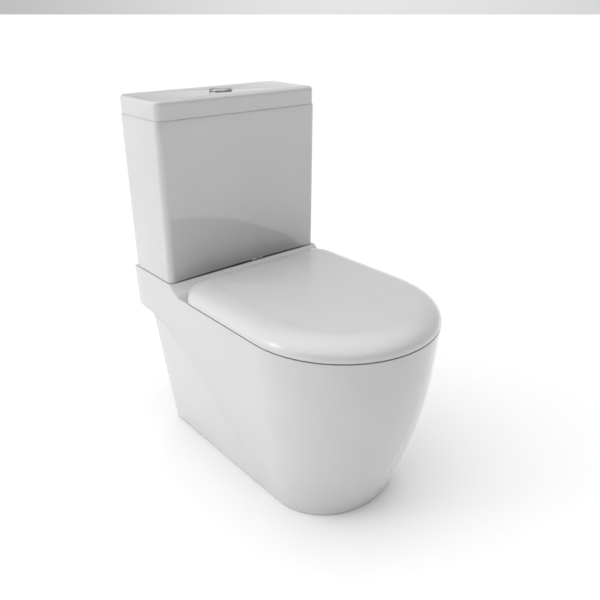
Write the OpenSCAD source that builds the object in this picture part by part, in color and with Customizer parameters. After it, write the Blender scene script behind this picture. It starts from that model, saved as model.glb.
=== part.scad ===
// Close coupled toilet: pan, cistern, seat, lid, flush valve and fill valve, each as its own part.
// Millimetres. +Z is up, the back of the cistern is at +Y and the front of the pan is at -Y.

/* [Pan] */
// Width of the pan across its rim
rim_w = 390; // [384:1:396]
// Depth from the back of the cistern to the front of the pan
overall_d = 632; // [620:1:640]
// Height of the rim
rim_h = 385.5; // [380:0.5:390]
// Height of the deck that carries the cistern
deck_h = 405; // [400:1:408]
// Width of the pan at the floor
base_w = 276; // [264:1:288]
// Radius of the front at the floor
base_front_r = 123; // [116:1:130]
// How soon the front swells to its full radius
front_fullness = 112; // [100:1:125]
// Height of the underside of the overhanging deck
overhang_z = 308.5; // [300:0.5:314]
// Width of the pan at the underside of the deck
overhang_w = 382; // [376:1:386]
// How far the crease on each side runs forward
crease_run = 313; // [280:1:330]
// Thickness of the ceramic walls
pan_wall = 13; // [11:0.5:15]

/* [Bowl and outlet] */
// Width of the bowl opening
bowl_w = 300; // [280:1:306]
// Width of the solid rim at the front
bowl_front_rim = 30; // [26:1:36]
// Radius of the outside of the outlet spigot
outlet_r = 51; // [49:0.5:52]
// Height of the outlet's centre line
outlet_z = 180; // [178:1:184]
// Bore radius of the flush duct
duct_r = 20; // [16:1:22]
// Distance between the two floor fixing holes
floor_fix_w = 200; // [190:1:210]

/* [Cistern] */
// Width of the cistern
tank_w = 386.6; // [380:0.2:390]
// Depth of the cistern
tank_d = 151.8; // [148:0.2:156]
// Height of the seam under the cistern lid
seam_z = 726.5; // [715:0.5:735]
// Height of the top of the cistern lid
lid_top_z = 763; // [758:0.5:768]
// Radius of the cistern's upright edges
tank_corner_r = 14; // [10:1:18]
// Thickness of the cistern walls
tank_wall = 10; // [8:0.5:12]
// Rounding of the cistern lid's top edge
lid_edge_r = 8; // [5:0.5:10]

/* [Seat] */
// Height of the top of the seat
seat_top_z = 407; // [405:0.5:408]
// Height of the lower edge of the seat and its lid
seat_low_z = 389; // [388.5:0.5:391]
// Gap between the lid and the seat it covers
lid_cover_gap = 4; // [3:0.5:5]
// Height of the lid's shoulder
lid_shoulder_z = 420; // [419:0.5:422]
// How far the lid's top rises above its shoulder
lid_crown = 5; // [3:0.5:6]
// Width of the lid's rounded shoulder
lid_shoulder_w = 55; // [45:1:62]
// Thickness of the lid
lid_wall = 5; // [4:0.5:5]
// Width of the hole in the seat
seat_hole_w = 224; // [210:1:236]
// Height of the hinge pins
hinge_z = 408; // [407.5:0.1:408.5]
// Distance between the two hinge posts
hinge_w = 155; // [150:1:160]

/* [Flush valve] */
// Radius of the push button's outer ring
bezel_r = 23.5; // [22:0.5:26]
// Radius of the opening that holds the two buttons
button_r = 19; // [17:0.5:20]
// Height of the buttons above the lid
button_rise = 3.4; // [2.5:0.1:5]
// How far each button goes down
button_travel = 5; // [3:0.5:6]
// Radius of the overflow tube
overflow_r = 13; // [11:0.5:15]
// Height of the top of the overflow tube
overflow_top = 600; // [580:1:610]
// Height of the flush levers
lever_z = 645; // [640:1:660]

/* [Fill valve] */
// Distance of the fill valve to the left of the middle
fill_x = 122; // [118:1:126]
// Radius of the threaded inlet tail
inlet_r = 10.5; // [10:0.1:10.6]
// Outside radius of the float cup
float_r = 28; // [24:1:30]
// Height of the float cup
float_h = 60; // [50:1:70]

/* [Output] */
// Part to build, or all

/* [Hidden] */
$fn = 48;

glaze = [0.93, 0.94, 0.94];
plastic_white = [0.95, 0.95, 0.95];
valve_white = [0.88, 0.89, 0.9];
valve_blue = [0.3, 0.45, 0.65];
chrome_grey = [0.75, 0.76, 0.78];
steel_grey = [0.62, 0.63, 0.65];
brass_yellow = [0.75, 0.6, 0.32];
rubber_black = [0.1, 0.1, 0.1];

back_y = overall_d / 2;
eps = 1;
rim_front_r = rim_w / 2 + 1;
front_join_y = -back_y + rim_front_r;
crease_rear_y = back_y - 59;
pedestal_rear_y = back_y - 26;
valve_y = back_y - 76;
valve_lift = 7.6;
seat_y = back_y - 208;
tank_front_y = back_y - tank_d;
tank_bottom = deck_h + 1;
tank_floor = tank_bottom + 12;
bolt_x = 78;
fill_y = back_y - 54;
shank_r = inlet_r - 0.3;
post_x = hinge_w / 2;
pin_r = 4;
running = 0.06;
barrel_r = 6.5;
recess_r = 52;
recess_z = deck_h - 24;
duct_z = rim_h - 33;
bowl_front_y = -back_y + bowl_front_rim;
bowl_rear_y = 56;
deck_slab = 22;
void_top = rim_h - 35;
trap_bend_r = 60;
trap_wall = 6;
sump_z = 135;
side_bow = 0.5;
side_steps = 9;
front_steps = 24;

// ---- shapes shared by several parts ----

// Closed skin through a stack of equal rings, each listed counter-clockwise.
module loft(rings) {
    n = len(rings[0]);
    m = len(rings);
    skin = [for (j = [0:m - 2], i = [0:n - 1], half = [0, 1])
        let (a = j * n + i, b = j * n + (i + 1) % n)
        half == 0 ? [a, a + n, b] : [b, a + n, b + n]];
    bottom = [for (i = [0:n - 1]) i];
    top = [for (i = [n - 1:-1:0]) (m - 1) * n + i];
    polyhedron([for (r = rings) each r], concat([bottom], skin, [top]));
}

// Round tube along a path of [y, z, radius] steps, grown by a wall.
module pipe_run(path, wall) {
    last = len(path) - 1;
    loft([for (i = [0:last])
        let (p = path[i], a = path[max(i - 1, 0)], b = path[min(i + 1, last)],
            dy = b[0] - a[0], dz = b[1] - a[1], d = sqrt(dy * dy + dz * dz), r = p[2] + wall)
        [for (t = [0:20:340])
            [r * cos(t), p[0] + r * sin(t) * dz / d, p[1] - r * sin(t) * dy / d]]]);
}

// Rounded rectangle made of squares and circles, so that its corners stay true arcs.
module rounded_plate(w, y0, y1, r) {
    translate([-w / 2 + r, y0]) square([w - 2 * r, y1 - y0]);
    translate([-w / 2, y0 + r]) square([w, y1 - y0 - 2 * r]);
    for (x = [-w / 2 + r, w / 2 - r], y = [y0 + r, y1 - r]) translate([x, y]) circle(r);
}

// Points of a rounded rectangle at one height.
function plate_ring(w, y0, y1, r, z) = [for (k = [0:3], t = [0:15:90])
    let (a = k * 90 + t, cx = (k == 0 || k == 3 ? 1 : -1) * (w / 2 - r), cy = k < 2 ? y1 - r : y0 + r)
    [cx + r * cos(a), cy + r * sin(a), z]];

module ring_at(x, y, z0, z1, r_out, r_in) {
    translate([x, y, z0]) difference() {
        cylinder(h = z1 - z0, r = r_out);
        translate([0, 0, -eps]) cylinder(h = z1 - z0 + 2 * eps, r = r_in);
    }
}

module hex_nut(x, y, z0, z1, r_out, r_in) {
    translate([x, y, z0]) difference() {
        cylinder(h = z1 - z0, r = r_out, $fn = 6);
        translate([0, 0, -eps]) cylinder(h = z1 - z0 + 2 * eps, r = r_in);
    }
}

module bar_x(x0, x1, y, z, r) {
    translate([x0, y, z]) rotate([0, 90, 0]) cylinder(h = x1 - x0, r = r);
}

module bar_y(x, y0, y1, z, r) {
    translate([x, y0, z]) rotate([-90, 0, 0]) cylinder(h = y1 - y0, r = r);
}

module box(x0, x1, y0, y1, z0, z1) {
    translate([x0, y0, z0]) cube([x1 - x0, y1 - y0, z1 - z0]);
}

module both_sides() {
    children();
    mirror([1, 0, 0]) children();
}

// ---- pan ----

function facet_w(z) = base_w / 2 + (overhang_w - base_w) / 2 * z / overhang_z;
function crease_s(y) = min(1, max(0, (crease_rear_y - y) / crease_run));
function crease_z(y) = overhang_z * (1 - pow(crease_s(y), 1.5));
function side_top(y) = y > crease_rear_y ? deck_h : rim_h - 2;
function side_w(y, z) = let (zc = crease_z(y), wc = facet_w(zc))
    z <= zc ? facet_w(z) : min(rim_w / 2, wc + (rim_w / 2 - wc) * (z - zc) / (side_top(y) - zc));
// The sides are not quite flat: they fall away by this much at both ends.
function side_fall(step) = side_bow * (1 - sin(180 * step / side_steps));
function front_r(z) = base_front_r + (rim_front_r - base_front_r) * sin(min(90, front_fullness * z / rim_h));
function join_y(z) = front_join_y + 15 * (1 - min(1, z / rim_h));
function rear_y(z) = z > overhang_z ? back_y
    : pedestal_rear_y + (crease_rear_y - pedestal_rear_y) * z / overhang_z;

// One level of the pan's outside: up the right side, round the front, back along the left.
function pan_ring(z, inset, rear) = let (
        zz = max(z, 0),
        yj = join_y(zz),
        power = 2 / (2.1 - 0.1 * min(1, zz / rim_h)),
        ys = [for (i = [0:side_steps]) rear + (yj - rear) * i / side_steps],
        wf = side_w(yj, zz) - inset - side_fall(0),
        rf = front_r(zz) - inset)
    concat(
        [for (i = [side_steps:-1:0]) [side_w(ys[i], zz) - inset - side_fall(i), ys[i], z]],
        [for (i = [0:side_steps]) [-(side_w(ys[i], zz) - inset - side_fall(i)), ys[i], z]],
        [for (i = [1:front_steps - 1]) let (a = 180 + 180 * i / front_steps)
            [wf * sign(cos(a)) * pow(abs(cos(a)), power), yj - rf * pow(abs(sin(a)), power), z]]);

module pan_outside() {
    levels = [0, 30, 70, 120, 180, 240, overhang_z];
    upper = [overhang_z + 3.5, rim_h - 2, deck_h];
    difference() {
        loft(concat([for (z = levels) pan_ring(z, 0, rear_y(z))], [for (z = upper) pan_ring(z, 0, back_y)]));
        // the curved step from the deck down to the rim
        translate([-rim_w, 0, 0]) rotate([90, 0, 90]) linear_extrude(2 * rim_w)
            polygon([[-overall_d, rim_h], [back_y - 186, rim_h], [back_y - 178, rim_h + 0.8],
                [back_y - 171, rim_h + 3.4], [back_y - 165, rim_h + 7], [back_y - 159, rim_h + 12.5],
                [back_y - 155, deck_h - 2.6], [back_y - 150, deck_h], [back_y - 149, deck_h + 9],
                [-overall_d, deck_h + 9]]);
    }
}

module pan_void() {
    loft([for (z = [-eps, 100, 200, 290, void_top])
        pan_ring(z, pan_wall, rear_y(min(max(z, 0), overhang_z)) - pan_wall)]);
}

// Bowl section: [height, half-width share, front and rear distance from the rim's values].
bowl_sections = [[rim_h + eps, 1, 0, 0], [372, 1, 0, 1], [350, 0.985, 3, 0], [310, 0.925, 20, -2],
    [265, 0.8, 54, -2], [220, 0.63, 101, 0], [180, 0.465, 156, 4], [150, 0.36, 201, 10],
    [125, 0.305, 241, 16], [108, 0.24, 266, 14], [102, 0.13, 286, -1]];

function bowl_ring(s, grow, drop) = let (
        w = bowl_w / 2 * s[1] + grow, f = bowl_front_y + s[2] - grow, r = bowl_rear_y + s[3] + grow)
    [for (a = [0:10:350]) [w * cos(a), (f + r) / 2 + (r - f) / 2 * sin(a), s[0] - drop]];

module bowl_inside() {
    loft([for (i = [len(bowl_sections) - 1:-1:0]) bowl_ring(bowl_sections[i], 0, 0)]);
}

module bowl_outside() {
    loft([for (i = [len(bowl_sections) - 1:-1:1]) bowl_ring(bowl_sections[i], pan_wall - 1, pan_wall - 1)]);
}

// The trapway: level out of the sump, up over the weir and down to the outlet, in bends of one radius.
function bend(y, z, from, to, r0, r1) = [for (i = [0:3]) let (a = from + (to - from) * i / 3)
    [y + trap_bend_r * cos(a), z + trap_bend_r * sin(a), r0 + (r1 - r0) * i / 3]];

trap_path = concat([[12, sump_z, 33]],
    bend(40, sump_z + trap_bend_r, -90, -30, 34, 34),
    bend(165, outlet_z - 8, 150, 45, 35, 38),
    bend(267, outlet_z + trap_bend_r, 225, 270, 40, outlet_r - 6.5));

module pan() {
    color(glaze) difference() {
        union() {
            difference() {
                pan_outside();
                pan_void();
                box(-105, 105, 230, back_y + 14, -eps, 285);
                both_sides() box(62, 168, 140, back_y - 16, 300, deck_h - deck_slab);
            }
            bowl_outside();
            bar_y(0, bowl_rear_y + 4, valve_y + 24, duct_z, duct_r + 11);
            translate([0, valve_y, duct_z - 34]) cylinder(h = 40, r = 40);
            both_sides() box(floor_fix_w / 2 - 18, base_w / 2 - 6, 128, 172, 0, 18);
        }
        bowl_inside();
        pipe_run(trap_path, 0);
        bar_y(0, bowl_rear_y - 8, valve_y, duct_z, duct_r);
        translate([0, valve_y, duct_z]) cylinder(h = deck_h - duct_z + eps, r = 28);
        translate([0, valve_y, recess_z]) cylinder(h = 30, r = recess_r);
        both_sides() {
            translate([bolt_x, valve_y, recess_z - 30]) cylinder(h = 60, r = 6);
            translate([post_x, seat_y, void_top - 10]) cylinder(h = 60, r = 6);
            translate([floor_fix_w / 2, 150, -eps]) cylinder(h = 30, r = 4);
        }
        box(-fill_x - 20, -fill_x + 20, fill_y - 20, back_y + 4, 290, deck_h + 5);
    }
}

// The trapway and its outlet spigot, which are cast with the pan and join it at the sump.
module trapway() {
    color(glaze) difference() {
        union() {
            pipe_run(trap_path, trap_wall);
            bar_y(0, back_y - 54, back_y - 10, outlet_z, outlet_r);
        }
        bowl_outside();
        pipe_run(trap_path, 0);
        bar_y(0, back_y - 60, back_y, outlet_z, outlet_r - trap_wall);
    }
}

// ---- cistern ----

module cistern_tank() {
    color(glaze) difference() {
        translate([0, 0, tank_bottom]) linear_extrude(seam_z - tank_bottom)
            rounded_plate(tank_w, tank_front_y, back_y, tank_corner_r);
        translate([0, 0, tank_floor]) linear_extrude(seam_z)
            rounded_plate(tank_w - 2 * tank_wall, tank_front_y + tank_wall, back_y - tank_wall, 8);
        translate([0, valve_y, tank_bottom - eps]) cylinder(h = 20, r = 30);
        both_sides() {
            translate([bolt_x, valve_y, tank_bottom - eps]) cylinder(h = 20, r = 6);
            bar_y(130, back_y - 20, back_y + 4, 680, 4);
        }
        translate([-fill_x, fill_y, tank_bottom - eps]) cylinder(h = 20, r = 11.5);
    }
}

module cistern_lid() {
    w = tank_w;
    e = lid_edge_r;
    lip_gap = 1.5;
    in_w = tank_w - 2 * tank_wall - 2 * lip_gap;
    y0 = tank_front_y + tank_wall + lip_gap;
    y1 = back_y - tank_wall - lip_gap;
    color(glaze) difference() {
        union() {
            loft([for (p = [[0, 1.6], [0.2, 1.2], [0, 2.6]]) plate_ring(w - 2 * max(0, 2 - p[1]),
                tank_front_y + max(0, 2 - p[1]), back_y - max(0, 2 - p[1]), tank_corner_r, seam_z + p[1] * 0.8 + p[0])]);
            translate([0, 0, seam_z + 2]) linear_extrude(lid_top_z - e - seam_z - 2)
                rounded_plate(w, tank_front_y, back_y, tank_corner_r);
            loft([for (t = [0:15:90]) let (i = e * (1 - cos(t)))
                plate_ring(w - 2 * i, tank_front_y + i, back_y - i, tank_corner_r - i / 2, lid_top_z - e + e * sin(t))]);
            translate([0, 0, seam_z - 10]) linear_extrude(20) rounded_plate(in_w, y0, y1, 7);
        }
        translate([0, 0, seam_z - 20]) linear_extrude(lid_top_z - 12 - seam_z + 20)
            rounded_plate(in_w - 12, y0 + 6, y1 - 6, 5);
        translate([0, valve_y, lid_top_z - 20]) cylinder(h = 30, r = button_r + 2.2);
    }
}

// ---- seat and lid ----

// Plan outline of the seat or lid: square-ended at the back, half round at the front.
function seat_ring_pts(inset, rear, corner, z) = let (w = rim_w / 2 - inset, f = rim_front_r - inset)
    concat(
        [for (t = [0:15:90]) [w - corner + corner * cos(t), rear - corner + corner * sin(t), z]],
        [for (t = [90:15:180]) [-w + corner + corner * cos(t), rear - corner + corner * sin(t), z]],
        [for (i = [0:front_steps]) let (a = 180 + 180 * i / front_steps)
            [w * cos(a), front_join_y + f * sin(a), z]]);

module seat_ring() {
    e = lid_wall + lid_cover_gap;
    rear = seat_y - 16;
    hole_front = -back_y + 60;
    hole_rear = 46;
    color(plastic_white) difference() {
        union() {
            loft([for (s = [[1, seat_low_z], [0, seat_low_z + 2.5], [2.5, seat_low_z + 7], [6, seat_top_z - 7],
                    [11.5, seat_top_z - 3], [18, seat_top_z]])
                seat_ring_pts(e + s[0], rear - s[0], 40, s[1])]);
            both_sides() {
                bar_x(52, 66, seat_y, hinge_z, barrel_r);
                box(52, 66, rear - 12, seat_y - 1, hinge_z - 8, hinge_z - 1);
            }
        }
        loft([for (s = [[0, seat_low_z - eps], [0, seat_low_z + 6], [3, seat_top_z - 4], [8, seat_top_z + eps]])
            [for (a = [0:7.5:352.5])
                [(seat_hole_w / 2 + s[0]) * cos(a),
                 (hole_front + hole_rear) / 2 + ((hole_rear - hole_front) / 2 + s[0]) * sin(a), s[1]]]]);
        both_sides() bar_x(50, 68, seat_y, hinge_z, pin_r + running);
    }
}

function shoulder_ring(t, grow, rear, low) = let (
        side_in = lid_shoulder_w * (1 - cos(t)), rear_in = 10 * (1 - cos(t)),
        rise = (lid_shoulder_z - seat_low_z - 0.5) * sin(t))
    seat_ring_pts(side_in + grow, rear - rear_in - grow, 38 - 12 * sin(t), seat_low_z + low + rise);

function crown_ring(share, grow, rear, low) = let (
        flat = shoulder_ring(90, grow, rear, low), cy = -80)
    [for (p = flat) [p[0] * share, cy + (p[1] - cy) * share, p[2] + lid_crown * (1 - share * share)]];

module lid_shape(grow, low, foot) {
    rear = seat_y + 18;
    loft(concat(
        [seat_ring_pts(grow, rear - grow, 38, foot)],
        [for (t = [0:11.25:90]) shoulder_ring(t, grow, rear, low)],
        [for (share = [0.8, 0.6, 0.4, 0.2, 0.05]) crown_ring(share, grow, rear, low)]));
}

lid_pads = [[148, 10], [96, -238]];

module seat_lid() {
    color(plastic_white) difference() {
        union() {
            difference() {
                lid_shape(0, 0.5, seat_low_z - 1);
                lid_shape(lid_wall, 0.5 - lid_wall, seat_low_z - 20);
                // the lower edge lifts towards the hinge so that the lid clears the pan as it opens
                translate([-rim_w, 0, 0]) rotate([90, 0, 90]) linear_extrude(2 * rim_w)
                    polygon([[seat_y + 3, seat_low_z - 20], [seat_y + 3, seat_low_z - 1],
                        [seat_y + 9, seat_low_z + 3], [seat_y + 14, seat_low_z + 12],
                        [seat_y + 30, seat_low_z + 13], [seat_y + 30, seat_low_z - 20]]);
            }
            both_sides() {
                bar_x(89, 103, seat_y, hinge_z, barrel_r);
                box(89, 103, seat_y - 5, seat_y + 4, hinge_z + 2, lid_shoulder_z - 3);
                for (p = lid_pads) translate([p[0], p[1], seat_top_z + 4]) cylinder(h = 4.5, r = 6);
            }
        }
        both_sides() {
            bar_x(87, 105, seat_y, hinge_z, pin_r + running);
            box(67.5, 87.5, seat_y + 3, seat_y + 30, seat_low_z - 5, lid_top_z);
        }
    }
}

module seat_bumpers() {
    color(plastic_white) both_sides() for (p = [[168, -20], [100, front_join_y - 145]])
        translate([p[0], p[1], rim_h]) cylinder(h = seat_low_z - rim_h, r = 8);
}

module lid_bumpers() {
    color(plastic_white) both_sides() for (p = lid_pads)
        translate([p[0], p[1], seat_top_z + 0.3]) cylinder(h = 3.7, r = 7);
}

module hinge_posts() {
    color(chrome_grey) both_sides() difference() {
        union() {
            translate([post_x, seat_y, rim_h]) cylinder(h = 2, r = 15);
            translate([post_x, seat_y, rim_h + 1]) cylinder(h = hinge_z - rim_h - 1, r = 6.4);
            bar_x(post_x - 7, post_x + 7, seat_y, hinge_z, barrel_r);
        }
        bar_x(post_x - 10, post_x + 10, seat_y, hinge_z, pin_r);
        translate([post_x, seat_y, rim_h - eps]) cylinder(h = 12, r = 3);
    }
}

module hinge_pins() {
    color(steel_grey) both_sides() bar_x(51, 104, seat_y, hinge_z, pin_r);
}

module hinge_bolts() {
    color(steel_grey) both_sides() translate([post_x, seat_y, void_top - 24]) cylinder(h = rim_h - void_top + 35, r = 3);
}

module hinge_washers() {
    color(rubber_black) both_sides() ring_at(post_x, seat_y, void_top - 3, void_top, 13, 3.2);
}

module hinge_nuts() {
    color(valve_white) both_sides() hex_nut(post_x, seat_y, void_top - 15, void_top - 3, 11, 3);
}

module seat_dampers() {
    color(steel_grey) both_sides() bar_x(30, 51, seat_y, hinge_z, barrel_r - 0.5);
}

// ---- joint between the pan and the cistern ----

module doughnut_washer() {
    color(rubber_black) ring_at(0, valve_y, recess_z, tank_bottom, recess_r - 2, 39);
}

module coupling_bolts() {
    color(brass_yellow) both_sides() translate([bolt_x, valve_y, 0]) {
        translate([0, 0, recess_z - 30]) cylinder(h = tank_floor + 9 - recess_z + 30, r = 4);
        translate([0, 0, tank_floor + 5.5]) cylinder(h = 4.5, r = 8);
    }
}

module coupling_rubber_washers() {
    color(rubber_black) both_sides() ring_at(bolt_x, valve_y, tank_floor, tank_floor + 4, 14, 4);
}

module coupling_steel_washers() {
    color(steel_grey) both_sides() {
        ring_at(bolt_x, valve_y, tank_floor + 4, tank_floor + 5.5, 13, 4);
        ring_at(bolt_x, valve_y, deck_h - deck_slab - 1.6, deck_h - deck_slab, 13, 4);
    }
}

module coupling_wing_nuts() {
    z = deck_h - deck_slab - 1.6;
    color(brass_yellow) both_sides() difference() {
        union() {
            translate([bolt_x, valve_y, z - 9]) cylinder(h = 9, r = 7.5);
            box(bolt_x - 1.5, bolt_x + 1.5, valve_y - 17, valve_y + 17, z - 13, z - 3);
        }
        translate([bolt_x, valve_y, z - 15]) cylinder(h = 20, r = 4);
    }
}

// ---- flush valve ----

module flush_valve_base() {
    color(valve_white) difference() {
        union() {
            translate([0, valve_y, tank_bottom - 12]) cylinder(h = 30, r = 28);
            translate([0, valve_y, tank_floor + 3]) cylinder(h = 4, r = 38);
            translate([0, valve_y, tank_floor + 7]) cylinder(h = 10, r = 30);
        }
        translate([0, valve_y, tank_bottom - 20]) cylinder(h = 60, r = 24);
    }
}

module flush_valve_back_nut() {
    color(valve_white) hex_nut(0, valve_y, tank_bottom - 10, tank_bottom, 37, 28);
}

module flush_valve_seat_washer() {
    color(rubber_black) ring_at(0, valve_y, tank_floor, tank_floor + 3, 37, 28);
}

module flush_valve_tower() {
    foot_z = tank_floor + 17;
    head_z = lever_z - 12;
    color(valve_blue) difference() {
        union() {
            translate([0, valve_y, foot_z]) cylinder(h = 5, r = 30);
            for (a = [45:90:315]) translate([25 * cos(a), valve_y + 25 * sin(a), foot_z]) cylinder(h = head_z - foot_z + 2, r = 3);
            translate([0, valve_y, head_z]) cylinder(h = 5, r = 30);
            translate([0, valve_y, 520]) cylinder(h = 5, r = 30);
            both_sides() for (y = [-10, 6]) box(20, 30, valve_y + y, valve_y + y + 4, head_z + 2, lever_z + 5);
        }
        translate([0, valve_y, foot_z - eps]) cylinder(h = 12, r = 26);
        translate([0, valve_y, head_z - eps]) cylinder(h = 10, r = 18);
        translate([0, valve_y, 520 - eps]) cylinder(h = 10, r = overflow_r + 0.6);
        both_sides() bar_y(26, valve_y - 20, valve_y + 20, lever_z, 1.8);
        // slot that lets the lifting strap pass
        box(-50, -overflow_r + 4, valve_y - 4, valve_y + 4, 515, 530);
    }
}

module overflow_tube() {
    foot = tank_floor + 19.5;
    color(valve_white) difference() {
        union() {
            translate([0, valve_y, foot + 3]) cylinder(h = overflow_top - foot - 3, r = overflow_r);
            translate([0, valve_y, foot]) cylinder(h = 3, r = 21);
            box(overflow_r - 3, 54, valve_y - 2, valve_y + 2, 580, 584);
            box(50, 54, valve_y - 2, valve_y + 2, 580, lever_z + 6);
            box(42, 54, valve_y - 5, valve_y + 5, lever_z + 4, lever_z + 7);
        }
        translate([0, valve_y, foot - eps]) cylinder(h = 300, r = overflow_r - 2);
    }
}

module flush_seal() {
    color(rubber_black) ring_at(0, valve_y, tank_floor + 17, tank_floor + 19.5, 25.5, 14);
}

module flush_lever() {
    color(valve_white) difference() {
        union() {
            bar_y(26, valve_y - 5.5, valve_y + 5.5, lever_z, 4);
            box(5, 47, valve_y - 4, valve_y + 4, lever_z - 2, lever_z + 2);
        }
        bar_y(26, valve_y - 10, valve_y + 10, lever_z, 1.8 + running);
    }
}

module full_flush_lever() {
    flush_lever();
}

module half_flush_lever() {
    mirror([1, 0, 0]) flush_lever();
}

module flush_lever_pins() {
    color(steel_grey) both_sides() bar_y(26, valve_y - 10.5, valve_y + 10.5, lever_z, 1.8);
}

module button_bezel() {
    color(chrome_grey) difference() {
        union() {
            translate([0, valve_y, lid_top_z]) cylinder(h = 1.4, r1 = bezel_r, r2 = bezel_r - 0.6);
            translate([0, valve_y, lid_top_z + 1.4]) cylinder(h = 1, r1 = bezel_r - 0.6, r2 = bezel_r - 2.4);
            translate([0, valve_y, lid_top_z - 24]) cylinder(h = 25, r = button_r + 1.8);
        }
        translate([0, valve_y, lid_top_z - 30]) cylinder(h = 50, r = button_r + 0.4);
    }
}

module button_locknut() {
    color(valve_white) hex_nut(0, valve_y, lid_top_z - 20, lid_top_z - 12, 27, button_r + 1.8);
}

// One half of the round button, with a low domed top.
module button_half(split) {
    color(chrome_grey) intersection() {
        union() {
            translate([0, valve_y, lid_top_z - 9]) cylinder(h = 9 + button_rise - 1.4, r = button_r);
            translate([0, valve_y, lid_top_z + button_rise - 1.4]) cylinder(h = 0.9, r1 = button_r, r2 = button_r - 1.5);
            translate([0, valve_y, lid_top_z + button_rise - 0.5]) cylinder(h = 0.5, r1 = button_r - 1.5, r2 = button_r - 6);
        }
        box(split, 30, valve_y - 30, valve_y + 30, lid_top_z - 20, lid_top_z + 20);
    }
}

button_split = -3;

module full_flush_button() {
    button_half(button_split + 0.35);
}

module half_flush_button() {
    mirror([1, 0, 0]) button_half(-button_split + 0.35);
}

module press_rod() {
    color(valve_white) translate([9, valve_y, lever_z + 4]) cylinder(h = lid_top_z - 13 - lever_z, r = 2.2);
}

module full_flush_rod() {
    press_rod();
}

module half_flush_rod() {
    mirror([1, 0, 0]) press_rod();
}

// ---- fill valve ----

module fill_valve_body() {
    color(valve_white) translate([-fill_x, fill_y, 0]) difference() {
        union() {
            translate([0, 0, tank_bottom - 44]) cylinder(h = 32, r = inlet_r);
            translate([0, 0, tank_bottom - 12]) cylinder(h = 28, r = shank_r);
            translate([0, 0, tank_floor + 3]) cylinder(h = 4, r = 19);
            translate([0, 0, tank_floor + 7]) cylinder(h = 640 - tank_floor - 7, r = 12);
        }
        translate([0, 0, tank_bottom - 50]) cylinder(h = 270, r = 6);
    }
}

module fill_valve_back_nut() {
    color(valve_white) hex_nut(-fill_x, fill_y, tank_bottom - 10, tank_bottom, 17, shank_r);
}

module fill_valve_washer() {
    color(rubber_black) ring_at(-fill_x, fill_y, tank_floor, tank_floor + 3, 18, shank_r);
}

module fill_valve_cap() {
    color(valve_blue) difference() {
        union() {
            translate([-fill_x, fill_y, 640]) cylinder(h = 12, r = 17);
            for (y = [-7, 4]) box(-fill_x - 4, -fill_x + 4, fill_y + y, fill_y + y + 3, 651, 673);
        }
        bar_y(-fill_x, fill_y - 20, fill_y + 20, 669, 1.5);
    }
}

module float_cup() {
    low = 500;
    color(valve_blue) difference() {
        translate([-fill_x, fill_y, low]) cylinder(h = float_h, r = float_r);
        translate([-fill_x, fill_y, low - eps]) cylinder(h = float_h + 2, r = 12.6);
        translate([-fill_x, fill_y, low + 3]) difference() {
            cylinder(h = float_h, r = float_r - 2);
            translate([0, 0, -eps]) cylinder(h = float_h, r = 14.6);
        }
        // flat that keeps the cup clear of the link's foot
        translate([-fill_x + float_r - 4, fill_y, low - eps]) cylinder(h = 6, r = 2);
    }
}

module float_link() {
    color(valve_white) translate([-fill_x + float_r - 4, fill_y, 503]) {
        cylinder(h = 3, r = 1.9);
        cylinder(h = 164, r = 1.6);
    }
}

module fill_valve_lever() {
    color(valve_white) difference() {
        union() {
            bar_y(-fill_x, fill_y - 3.4, fill_y + 3.4, 669, 3.6);
            box(-fill_x, -fill_x + 34, fill_y - 3, fill_y + 3, 667.5, 670.5);
            box(-fill_x - 8, -fill_x, fill_y - 3, fill_y + 3, 667.5, 670.5);
            box(-fill_x - 19.4, -fill_x - 7, fill_y - 5, fill_y + 5, 665.5, 672.5);
        }
        bar_y(-fill_x, fill_y - 10, fill_y + 10, 669, 1.5 + running);
    }
}

module fill_lever_pin() {
    color(steel_grey) bar_y(-fill_x, fill_y - 7.5, fill_y + 7.5, 669, 1.5);
}

pan();
trapway();
cistern_tank();
cistern_lid();
seat_ring();
seat_lid();
seat_bumpers();
lid_bumpers();
hinge_posts();
hinge_pins();
hinge_bolts();
hinge_washers();
hinge_nuts();
seat_dampers();
doughnut_washer();
coupling_bolts();
coupling_rubber_washers();
coupling_steel_washers();
coupling_wing_nuts();
flush_valve_base();
flush_valve_back_nut();
flush_valve_seat_washer();
flush_valve_tower();
overflow_tube();
flush_seal();
full_flush_lever();
half_flush_lever();
flush_lever_pins();
button_bezel();
button_locknut();
full_flush_button();
half_flush_button();
full_flush_rod();
half_flush_rod();
fill_valve_body();
fill_valve_back_nut();
fill_valve_washer();
fill_valve_cap();
float_cup();
float_link();
fill_valve_lever();
fill_lever_pin();
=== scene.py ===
import bpy
import bmesh
import math
from mathutils import Matrix, Vector


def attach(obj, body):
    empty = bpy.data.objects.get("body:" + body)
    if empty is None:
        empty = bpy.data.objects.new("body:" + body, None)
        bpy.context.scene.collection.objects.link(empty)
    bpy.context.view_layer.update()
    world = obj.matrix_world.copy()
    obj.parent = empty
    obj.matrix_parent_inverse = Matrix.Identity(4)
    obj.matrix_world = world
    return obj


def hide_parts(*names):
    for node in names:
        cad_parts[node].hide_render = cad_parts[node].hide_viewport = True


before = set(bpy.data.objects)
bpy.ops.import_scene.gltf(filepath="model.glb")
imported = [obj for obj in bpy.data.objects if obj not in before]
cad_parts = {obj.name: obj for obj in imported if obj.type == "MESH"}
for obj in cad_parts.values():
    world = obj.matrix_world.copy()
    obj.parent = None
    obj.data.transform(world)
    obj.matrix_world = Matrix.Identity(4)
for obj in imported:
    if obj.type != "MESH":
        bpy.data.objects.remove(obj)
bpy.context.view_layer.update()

mm = 0.001

# camera, set first so that every later stage can be looked at

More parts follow.
